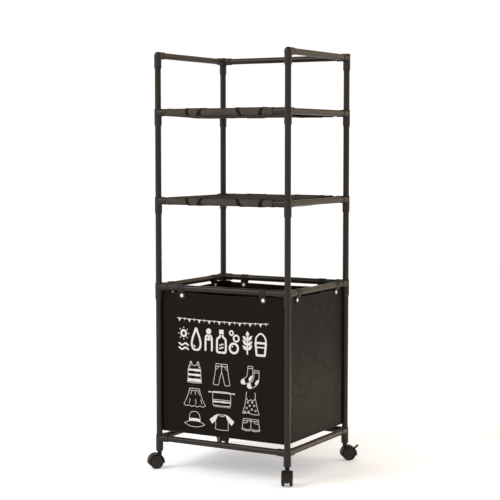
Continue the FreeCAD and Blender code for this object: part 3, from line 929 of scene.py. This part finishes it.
def make_straps():
    edge = np.radians(np.linspace(0, 360, 40))
    straps, seams, caps, backs, rings = [], [], [], [], []
    for i, place in enumerate(STRAP_PLACES):
        straps.append(strap_parts(place, i))
        _, (out_x, out_y) = place
        outward = (out_x, out_y, 0)
        depth = STRAP_OUTER_LEG - STRAP_THICK / 2
        ring = [(SEAM_R * math.cos(a), depth, STRAP_SNAP + SEAM_R * math.sin(a)) for a in edge]
        seams.append(stitches(at_strap(ring, place), outward, *STRAP_STITCH))
        ring = [(RIM_R * math.cos(a), depth - 0.1, STRAP_SNAP + RIM_R * math.sin(a)) for a in edge[:-1]]
        rings.append(swept(at_strap(ring, place), RIM_BAR_R, 8, True, up=outward))
        for along in (-SIDE_SEAM, SIDE_SEAM):
            side_seam = [(along, depth, z) for z in np.linspace(STRAP_SNAP, -9.0, 12)]
            seams.append(stitches(at_strap(side_seam, place), outward, *STRAP_STITCH))
        caps.append(snap_parts(place, STRAP_OUTER_LEG, -1))
        backs.append(snap_parts(place, STRAP_INNER_LEG, 1))
    build("bag_hanging_straps", joined(straps), "strap_cloth", 0.3, "bag_straps")
    build("strap_stitches", joined(seams), "strap_cloth")
    # the strap ends' raised rims take the lighter shelf cloth: a painted highlight along the strap's edge
    build("strap_end_rims", joined(rings), "shelf_cloth")
    for name, parts in (("caps", caps), ("backs", backs)):
        build("press_stud_" + name, joined(parts), "snap_plastic", replaces="bag_snap_" + name, sharp_deg=60)


# ---------------------------------------------------------------- the bag's loose floor board


def make_board():
    low, high = (np.array(corner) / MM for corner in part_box("bag_base_board"))
    insets = np.array([120.0, 80.0, 40.0, 10.0, 0.0])
    grid = np.stack([rounded_loop(BAG_HALF_X - high[0] + inset)[:, :2] for inset in insets], axis=1)
    height = -FLOOR_SAG / 2 * smooth_step(insets / FLOOR_INSETS[0])
    sheets = []
    for z in (high[2], low[2]):
        points = np.concatenate([grid, np.broadcast_to(z + height, grid.shape[:2])[..., None]], axis=2)
        sheets.append(points)
    build("bag_floor_board", slab(*sheets, True, capped=True), "base_board", 0.6, "bag_base_board")


# ---------------------------------------------------------------- the print on the bag's front

INK_THICK = 0.22
INK_LIFT = 0.06
INK_STEP = 1.6
THIN = 1.3
BOLD = 5.6
TOUCH = 3.4                  # the bold motifs' smaller strokes
HAND_WANDER = 0.3            # how unsteady the hand-drawn lines are
HAND_RUN = 9.0
FRONT = np.array([0.0, -1.0, 0.0])
MIRROR = (-1, 1)


def curve(points, steps=8):
    """A smooth line through points."""
    points = np.asarray(points, float)
    ends = np.vstack([2 * points[0] - points[1], points, 2 * points[-1] - points[-2]])
    t = np.linspace(0, 1, steps, endpoint=False)[:, None]
    line = []
    for a, b, c, d in zip(ends, ends[1:], ends[2:], ends[3:]):
        line.append(0.5 * (2 * b + (c - a) * t + (2 * a - 5 * b + 4 * c - d) * t ** 2
                           + (3 * b - a - 3 * c + d) * t ** 3))
    return np.vstack([*line, points[-1:]])


def arc(x, z, radius, start_deg=0.0, end_deg=360.0, steps=24):
    angles = np.radians(np.linspace(start_deg, end_deg, steps + 1))
    return np.column_stack([x + radius * np.cos(angles), z + radius * np.sin(angles)])


def wave(half, z, rise, run, count):
    """A line from -half to half that goes up and down; run is a wave's length over 2 pi."""
    x = np.linspace(-half, half, count)
    return np.column_stack([x, z + rise * np.sin(x / run)])


class Ink:
    """Draws on the bag's front, in millimetres to the right and up from a motif's middle."""

    def __init__(self):
        self.parts = []
        self.middle = np.zeros(2)
        self.stretch = 1.0

    def on_cloth(self, points, lift):
        flat = np.asarray(points, float) * (1, self.stretch) + self.middle
        place = np.stack([flat[..., 0], np.full(flat.shape[:-1], -BAG_HALF_Y), flat[..., 1]], axis=-1)
        normals = np.broadcast_to(FRONT, place.shape)
        return place + normals * (lift + swell(place, normals))[..., None]

    def line(self, points, width=THIN, closed=False):
        """A stroke with round ends."""
        points = np.asarray(points, float)
        if closed:
            points = np.vstack([points, points[:1]])
        run = arc_lengths(points, False)
        length = run[-1]
        radius = min(width, 0.9 * length) / 2
        count = max(int(length / INK_STEP), 3)
        at = np.linspace(0, length, count, endpoint=False)
        reach = np.full(count, radius)
        if not closed:
            tip = np.array([0.0, 0.08, 0.3, 0.62]) * min(radius, length / 2)
            at = np.concatenate([tip, np.linspace(radius, length - radius, count), length - tip[::-1]])
            near = np.clip(np.minimum(at, length - at) / radius, 0, 1)
            reach = np.maximum(radius * np.sqrt(1 - (1 - near) ** 2), 0.12)
        flat = np.column_stack([np.interp(at, run, points[:, i]) for i in (0, 1)])
        along = np.column_stack([flat + self.middle, np.zeros(len(flat))])
        for i in (0, 1):
            flat[:, i] += HAND_WANDER * ripple(along, HAND_RUN, 11 + i)
        self.parts.append(swept(self.on_cloth(flat, INK_LIFT), reach, 8, closed, INK_THICK / radius, FRONT))

    def pair(self, points, width=THIN):
        """A stroke and its mirror image."""
        points = np.asarray(points, float)
        self.line(points, width)
        self.line(points * MIRROR, width)

    def bends(self, *lines):
        """Thin smooth strokes through points."""
        for points in lines:
            self.line(curve(points))

    def pairs(self, *lines):
        """Thin smooth strokes through points, each with its mirror image."""
        for points in lines:
            self.pair(curve(points))

    def edges(self, corners, width=THIN):
        """Straight strokes round an outline, with sharp corners."""
        corners = np.asarray(corners, float)
        for a, b in zip(corners, np.roll(corners, -1, axis=0)):
            reach = (b - a) / np.linalg.norm(b - a) * width * 0.35
            self.line([a - reach, b + reach], width)

    def ring(self, x, z, radius, width=THIN):
        self.line(arc(x, z, radius)[:-1], width, True)

    def fill(self, first, second):
        """The area between two lines with as many points."""
        first, second = np.asarray(first, float), np.asarray(second, float)
        span = np.linalg.norm(second - first, axis=1).max()
        shares = np.linspace(0, 1, max(int(span / 3), 2) + 1)[:, None, None]
        flat = first + (second - first) * shares
        outer, inner = self.on_cloth(flat, INK_LIFT + INK_THICK), self.on_cloth(flat, -INK_THICK)
        self.parts.append(slab(outer, inner, False))

    def disc(self, x, z, radius):
        self.fill(arc(x, z, radius, 176, 4, 10), arc(x, z, radius, 184, 356, 10))


def draw_sun(ink):
    ink.ring(0, 13, 7.4, BOLD)
    for degrees in range(0, 360, 45):
        ends = [arc(0, 13, radius, degrees, degrees, 0) for radius in (13.2, 16.6)]
        ink.line(np.vstack(ends), TOUCH)
    for z in (-15, -26):
        ink.line(wave(16, z, 2.6, 16 / (1.5 * math.pi), 17), 4.4)


def draw_drop(ink):
    ink.pair(curve([(0, 30), (5.5, 16), (11, 2), (13.5, -12), (9.5, -24), (0, -28.5)]), BOLD)
    ink.line(arc(-1, -13, 6.4, 195, 265, 8), TOUCH)


def draw_peg(ink):
    ink.disc(0, 23, 7.6)
    ink.pair(curve([(2.6, 14), (8.4, 8), (9.8, -8), (9.2, -28)]), BOLD)
    ink.line([(0, 13), (0, -1)], BOLD)
    ink.line([(-9, 2), (9, 2)], 3.6)


def draw_bottle(ink):
    side = [(-3.6, 17), (-5, 11), (-12, 5), (-13, -3), (-13, -24), (-10, -28.5), (0, -28.8)]
    ink.pair(curve(side), BOLD)
    ink.fill([(-6.5, 29.5), (6.5, 29.5)], [(-6.5, 18.5), (6.5, 18.5)])
    for z in (-9, -17):
        ink.line(wave(6.5, z, 1.7, 6.5 / math.pi, 13), 3.2)


def draw_bubbles(ink):
    for x, z, radius, width in ((-1.5, -15.5, 12.2, BOLD), (5.5, 10, 7.8, 4.6), (-8.5, 23, 5.2, 4.0)):
        ink.ring(x, z, radius, width)
    ink.line(arc(-1.5, -15.5, 6.2, 110, 165, 6), 3.0)


def draw_sprig(ink):
    ink.line(curve([(0.5, -29), (-0.8, -12), (0.6, 6), (0, 20)]), 4.0)
    for z, turn in ((-17, 1), (-5, -1), (7, 1)):
        for side in (-1, 1):
            tip = np.array([side * 14.5, z + 12.0 + turn * side])
            base = np.array([0.0, z - 1.0])
            bend = np.array([side * 2.2, -3.6])
            ink.fill(*[curve([base, (base + tip) / 2 + way * bend, tip], 5) for way in (1, -1)])
    leaf = curve([(0, 17), (-5, 23), (0, 31)], 5)
    ink.fill(leaf, leaf * MIRROR)


def draw_bucket(ink):
    ink.edges([(-15, 3), (15, 3), (11.5, -28), (-11.5, -28)], BOLD)
    ink.line(curve([(-15, 4), (-12.5, 17), (0, 27), (12.5, 17), (15, 4)]), 4.2)
    ink.line([(-12, -8), (12, -8)], TOUCH)


def draw_vest(ink):
    ink.pairs([(-9, 30), (-10.5, 22), (-13, 15), (-19, 9), (-19.5, -8), (-21, -30)],
              [(-13, 30.5), (-9, 30)],
              [(-13, 30.5), (-14.5, 21), (-18.5, 13)])
    ink.bends([(-9, 30), (-6.5, 21.5), (0, 18.5), (6.5, 21.5), (9, 30)],
              [(-21, -30), (0, -31.5), (21, -30)])
    for top, foot, half in ((9, 3, 18.8), (-5, -11, 19.2), (-19, -28, 20.2)):
        ink.fill(wave(half, top, 0.5, 5, 12), wave(half, foot, -0.5, 5, 12))


def draw_trousers(ink):
    ink.edges([(-17, 30), (17, 30), (17.6, 23), (-17.6, 23)])
    ink.pairs([(17.6, 23), (20, 0), (25, -29)],
              [(25, -29), (17, -31), (9, -30)],
              [(9, -30), (4.5, -8), (0, 7)],
              [(10, 22.5), (13, 16), (18.2, 14)])
    ink.line([(0, 23), (0, 7)])
    ink.disc(0, 26.5, 1.5)


def draw_socks(ink):
    outline = [(2, 26), (1, 8), (-3, -4), (-16, -13), (-18, -21), (-10, -25), (6, -17), (15, -4), (16, 26)]
    for place in ((-10, 4), (8, -6)):
        ink.line(curve(outline) + place)
        for z in (26, 20):
            ink.line(np.array([(2, z), (16, z)]) + place)
        ink.fill(curve([(-9, -9), (-16.5, -14), (-17.5, -20)], 4) + place,
                 curve([(-5, -22), (-9, -24), (-14, -23.5)], 4) + place)
        ink.fill(curve([(15.6, 2), (14, -5), (7, -16)], 4) + place,
                 curve([(11, 0), (7, -4), (4, -10)], 4) + place)


def draw_skirt(ink):
    ink.edges([(-15, 29), (15, 29), (16, 22), (-16, 22)])
    ink.pairs([(16, 22), (22, 0), (33, -26)])
    x = np.linspace(-33, 33, 40)
    ink.line(np.column_stack([x, -28 + 1.9 * np.cos(x / 33 * math.pi * 4) - 2.0 * (1 - (x / 33) ** 2)]))
    for x in (-8, 2, 11):
        ink.line([(x, 20), (x * 1.5, 8)])
        ink.line([(x * 1.7, -6), (x * 2.1, -22)])


def draw_towel(ink):
    ink.line([(-37, 22), (37, 22)], 2.2)
    for x in (-37, 37):
        ink.disc(x, 22, 2.4)
    ink.pairs([(26, 24), (27, 0), (25.5, -17)])
    ink.bends([(-26, 24), (0, 25.5), (26, 24)], [(-25.5, -17), (0, -18.5), (25.5, -17)])
    ink.fill(wave(25.6, -4, 0.4, 4, 14), wave(25.6, -8.5, -0.4, 4, 14))
    ink.line([(-25.8, 0), (25.8, 0)])
    for x in np.arange(-24, 25, 4.0):
        ink.line([(x, -18), (x + 0.5, -23)])


def draw_dress(ink):
    ink.pairs([(12, 31), (13, 22), (13, 14)],
              [(13, 14), (15, 6), (17, -6), (24, -31)])
    ink.bends([(-13, 14), (-6, 6), (0, 10), (6, 6), (13, 14)],
              [(-24, -31), (-8, -29), (8, -32), (24, -31)])
    dots = [(-9, 1), (4, 2), (-3, -8), (10, -7), (-12, -15), (3, -18), (14, -21), (-6, -25), (-17, -26)]
    for x, z in dots:
        ink.ring(x, z, 2.3)


def draw_hat(ink):
    ink.bends([(-17, -6), (-15, 9), (-7, 16), (7, 16), (15, 9), (17, -6)],
              [(-31, -11), (-17, -6), (0, -4.5), (17, -6), (31, -11)],
              [(-31, -11), (-16, -16.5), (0, -18), (16, -16.5), (31, -11)])
    x = np.linspace(-16.4, 16.4, 12)
    brim = -4.8 - 1.4 * (x / 17) ** 2
    ink.fill(np.column_stack([x, brim + 6.5]), np.column_stack([x, brim + 0.4]))


def draw_shirt(ink):
    ink.pairs([(19, 3), (18.5, -9), (20, -20)])
    shoulder = curve([(10, 19), (20, 15), (36, 3)], 5)
    cuff = curve([(18.5, 2), (22, -1), (28, -7)], 5)
    for side in (MIRROR, (1, 1)):
        ink.fill(shoulder * side, cuff * side)
    ink.pair(shoulder)
    ink.pair([(36, 3), (28, -7)])
    ink.bends([(-10, 19), (-5, 14.5), (5, 14.5), (10, 19)],
              [(-10, 19), (0, 18), (10, 19)],
              [(-20, -20), (0, -21.5), (20, -20)])


def draw_shorts(ink):
    ink.edges([(-22, 18), (22, 18), (22.4, 12), (-22.4, 12)])
    ink.pairs([(22.4, 12), (24, -2), (26, -15)],
              [(26, -15), (14, -18), (2, -17)],
              [(9, 12), (12, 6), (23, 5)],
              [(25.5, -11), (14, -14), (2, -13)])
    ink.line([(0, 12), (0, -16)])
    ink.disc(0, 15, 1.4)


def draw_garland(ink):
    """A washing line with small flags and pegs."""
    half, z, sag = 136, 2, 3.0
    x = np.linspace(-half, half - 1, 90)
    ink.line(np.column_stack([x, z + sag * (x / half) ** 2]), 1.5)
    for i, x in enumerate(np.linspace(-128, 127, 18)):
        top = z + sag * (x / half) ** 2
        if i % 2 == 0:
            ink.fill([(x - 4.2, top), (x + 4.2, top)], [(x - 0.4, top - 8.2), (x + 0.4, top - 8.2)])
        else:
            ink.line([(x, top + 2.6), (x, top - 4.6)], 2.2)


GARMENT_X = (-83.0, -1.0, 84.0)
# Each row's height on the bag, its motifs' middles, and its motifs, each with how much of its own
# height it is drawn at.
PRINT_ROWS = [
    (395.0, (0.0,), [(draw_garland, 1.0)]),
    (347.5, np.arange(7) * 38.0 - 115.5,
     [(draw, 1.0) for draw in (draw_sun, draw_drop, draw_peg, draw_bottle, draw_bubbles, draw_sprig,
                               draw_bucket)]),
    (262.0, GARMENT_X, [(draw_vest, 0.90), (draw_trousers, 0.90), (draw_socks, 0.93)]),
    (196.5, GARMENT_X, [(draw_skirt, 0.78), (draw_towel, 0.84), (draw_dress, 0.90)]),
    (140.0, GARMENT_X, [(draw_hat, 1.15), (draw_shirt, 1.0), (draw_shorts, 0.85)]),
]


def make_print():
    ink = Ink()
    for z, places, motifs in PRINT_ROWS:
        for x, (draw, stretch) in zip(places, motifs):
            ink.middle = np.array([x, z])
            ink.stretch = stretch
            draw(ink)
    points, faces, _ = joined(ink.parts)
    build("bag_print", (points, faces, []), "print_ink")


# ---------------------------------------------------------------- casters

WHEEL_R = 18.0
WHEEL_IN = 6.3               # a wheel's faces, from the caster's middle plane
WHEEL_OUT = 13.8
WHEEL_PROFILE = [            # (radius, distance from the middle plane), from inside to outside
    (0.0, WHEEL_IN), (16.3, WHEEL_IN), (17.1, WHEEL_IN + 0.25), (17.7, WHEEL_IN + 0.8),
    (WHEEL_R, WHEEL_IN + 1.6), (WHEEL_R, 9.85), (WHEEL_R - 0.2, 10.05), (WHEEL_R, 10.25),
    (WHEEL_R, WHEEL_OUT - 1.7), (17.75, WHEEL_OUT - 0.9), (17.2, WHEEL_OUT - 0.3), (16.3, WHEEL_OUT),
    (13.3, WHEEL_OUT), (12.9, WHEEL_OUT - 0.15), (12.5, WHEEL_OUT - 0.8), (7.0, WHEEL_OUT - 0.8),
    (6.6, WHEEL_OUT - 0.45), (5.9, WHEEL_OUT - 0.3), (0.0, WHEEL_OUT - 0.25),
]


def make_wheels():
    for joint in frame["joints"]:
        if not joint["name"].startswith("roll_"):
            continue
        letter, corner = joint["name"][len("roll_")], joint["name"][len("roll_a_"):]
        axis = np.array(joint["axis"]) * (1 if letter == "a" else -1)
        centre = np.array(joint["pos_m"]) / MM
        points, faces, _ = turned(WHEEL_PROFILE, centre, axis, 72)
        out = np.asarray(points) - centre
        along = out @ axis
        radius = np.linalg.norm(out - along[:, None] * axis, axis=1)
        uv = [(radius[i], along[i]) for face in faces for i in face]
        name = f"wheel_{letter}_{corner}"
        build("turned_" + name, (points, faces, uv), "wheel_plastic", replaces="caster_" + name, body=name,
              sharp_deg=50)


MOULDING_EDGES = {"caster_hood": 0.45, "brake_pedal": 0.5}


def round_edges():
    """Rounds the sharp edges of the hoods and brake pedals."""
    for kind, width in MOULDING_EDGES.items():
        for name, node in frame["nodes"].items():
            if name.startswith(kind):
                soften(node, width, 3, 40.0)


# ---------------------------------------------------------------- camera, floor and light

CAMERA_AT = (1810.2, -3173.8, 844.4)
CAMERA_YAW_DEG = 29.84       # to the left of +Y
CAMERA_PITCH_DEG = -4.30
CAMERA_LENS = 100.36
CAMERA_SENSOR = 36.0
SKY_COLOUR = (1.08, 1.03, 1.0)
SKY_WARM = (0.92, 0.80, 0.60)       # behind on the right
SKY_WARM_TOWARDS = (0.655, 0.604, 0.453)
# Each fade: two lengths of a unit direction along an axis, and the values there.
SKY_FADE = (0.2, 0.9, 1.03, 0.62)
SKY_WARM_FADE = (0.42, 0.72, 0.0, 1.0)
SKY_WARM_RISE = (0.06, 0.24, 0.0, 1.0)
FLOOR_REACH = 6000.0
FLOOR_GLOW = (0.86, 0.9, 1.0)
FLOOR_GLOW_STRENGTH = 0.34
LAMPS_AIM = (0, 0, 600)
# Each lamp's name, place, aim, width, height, power and colour.
LAMPS = [
    ("key", (-1500, -2200, 2400), LAMPS_AIM, 1400, 1400, 45, (1, 1, 1)),
    ("rim", (1300, 2000, 1200), LAMPS_AIM, 2200, 1600, 9, (1.0, 0.62, 0.28)),
    ("glow", (560, 520, 90), (190, 100, 150), 360, 160, 0.75, (1.0, 0.8, 0.58)),
]


def make_camera():
    yaw = math.radians(CAMERA_YAW_DEG)
    pitch = math.radians(CAMERA_PITCH_DEG)
    forward = Vector((-math.sin(yaw) * math.cos(pitch), math.cos(yaw) * math.cos(pitch), math.sin(pitch)))
    data = bpy.data.cameras.new("camera")
    data.lens = CAMERA_LENS
    data.sensor_width = CAMERA_SENSOR
    camera = bpy.data.objects.new("camera", data)
    camera.location = Vector(CAMERA_AT) * MM
    camera.rotation_euler = forward.to_track_quat("-Z", "Y").to_euler()
    bpy.context.scene.collection.objects.link(camera)
    bpy.context.scene.camera = camera


def make_lamp(name, at, towards, width, height, power, colour):
    data = bpy.data.lights.new(name, "AREA")
    data.shape = "RECTANGLE"
    data.size = width * MM
    data.size_y = height * MM
    data.energy = power
    data.color = colour
    lamp = bpy.data.objects.new(name, data)
    lamp.visible_camera = False
    lamp.location = Vector(at) * MM
    lamp.rotation_euler = (Vector(towards) - Vector(at)).to_track_quat("-Z", "Y").to_euler()
    bpy.context.scene.collection.objects.link(lamp)


def make_sky():
    """A warm white studio, brighter at the sides than overhead, and tan behind on the right."""
    world = bpy.data.worlds.new("studio")
    world.use_nodes = True
    tree = world.node_tree
    background = tree.nodes["Background"]
    where = tree.nodes.new("ShaderNodeTexCoord").outputs["Generated"]

    def fade(direction, ends):
        """A value that changes with how far a view's unit direction goes along this one."""
        along = tree.nodes.new("ShaderNodeVectorMath")
        along.operation = "DOT_PRODUCT"
        along.inputs[1].default_value = direction
        between = tree.nodes.new("ShaderNodeMapRange")
        for key, value in zip(("From Min", "From Max", "To Min", "To Max"), ends):
            between.inputs[key].default_value = value
        tree.links.new(where, along.inputs[0])
        tree.links.new(along.outputs["Value"], between.inputs["Value"])
        return between.outputs[0]

    warm = tree.nodes.new("ShaderNodeMath")
    warm.operation = "MULTIPLY"
    tree.links.new(fade(SKY_WARM_TOWARDS, SKY_WARM_FADE), warm.inputs[0])
    tree.links.new(fade((0, 0, 1), SKY_WARM_RISE), warm.inputs[1])
    colour = tree.nodes.new("ShaderNodeMix")
    colour.data_type = "RGBA"
    colour.inputs[MIX_A].default_value = (*SKY_COLOUR, 1)
    colour.inputs[MIX_B].default_value = (*SKY_WARM, 1)
    tree.links.new(warm.outputs[0], colour.inputs[0])
    tree.links.new(colour.outputs[MIX_RESULT], background.inputs["Color"])
    tree.links.new(fade((0, 0, 1), SKY_FADE), background.inputs["Strength"])
    bpy.context.scene.world = world


def floor_finish():
    finish = Finish("studio_floor", tone(251, 251, 251), 0.6, Specular_IOR_Level=0.1,
                    Emission_Color=(*FLOOR_GLOW, 1), Emission_Strength=FLOOR_GLOW_STRENGTH)
    patches = finish.blend(finish.noise(400), tone(250, 250, 250), tone(252, 252, 252))
    finish.send(patches, "Base Color")
    return finish.material


def make_floor():
    corners = [np.array([x, y, 0]) * FLOOR_REACH for x, y in ((-1, -1), (1, -1), (1, 1), (-1, 1))]
    mesh = bpy.data.meshes.new("studio_floor")
    mesh.from_pydata([corner * MM for corner in corners], [], [(0, 1, 2, 3)])
    mesh.materials.append(floor_finish())
    floor = bpy.data.objects.new("studio_floor", mesh)
    bpy.context.scene.collection.objects.link(floor)


# ---------------------------------------------------------------- the whole


def dress_cad():
    """Gives every CAD node the finish of its slot."""
    slots = {part["node"]: part["material_slot"] for part in frame["record"]["subparts"]}
    for name, node in frame["nodes"].items():
        node.data.materials.clear()
        node.data.materials.append(SLOTS[slots[name]])


dress_cad()
make_connectors()
for level in ("lower", "upper"):
    make_shelf(level)
make_bag()
make_print()
make_straps()
make_board()
make_wheels()
round_edges()
make_camera()
make_sky()
make_floor()
for lamp in LAMPS:
    make_lamp(*lamp)
bpy.context.scene.view_settings.view_transform = "Standard"
